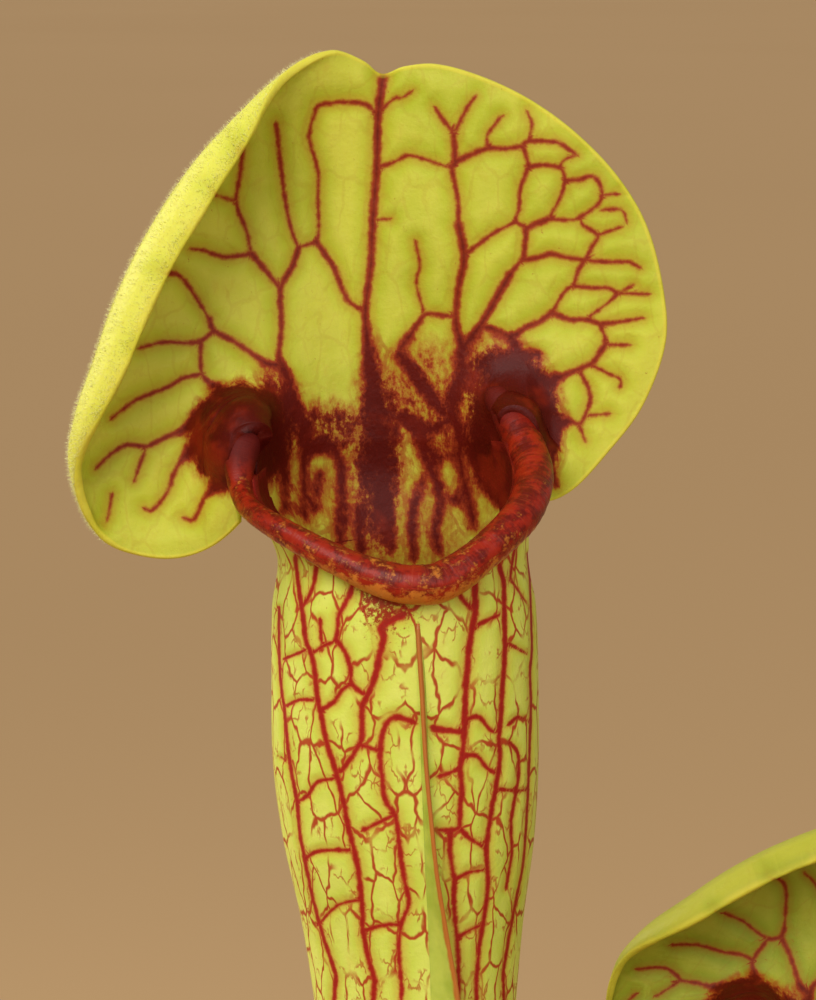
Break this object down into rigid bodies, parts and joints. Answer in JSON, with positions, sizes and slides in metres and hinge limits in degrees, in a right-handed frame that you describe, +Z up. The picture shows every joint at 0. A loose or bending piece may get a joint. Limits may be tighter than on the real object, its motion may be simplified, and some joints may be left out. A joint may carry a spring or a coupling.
{
  "type": "potted pitcher plant",
  "caption": "Potted pitcher plant: tall hollow leaves with rolled lips and broad red-veined hoods, standing in a round nursery pot.",
  "frame": {"origin": "on the pot's axis, on the surface that the pot stands on", "axes": "+Z up along the tall pitchers; -Y is the side that the tallest pitcher's mouth faces; +X is to the right seen from there"},
  "size_m": [0.14, 0.14, 0.3319],
  "materials": {
    "pot_plastic": "satin",
    "medium": "rough",
    "rhizome": "rough",
    "leaf": "satin"
  },
  "bodies": {
    "root": {"pot": "pot_plastic", "growing_medium": "medium", "rhizome": "rhizome", "pitcher_main": "leaf", "pitcher_second": "leaf", "pitcher_third": "leaf", "pitcher_fourth": "leaf", "pitcher_young": "leaf"}
  },
  "joints": []
}
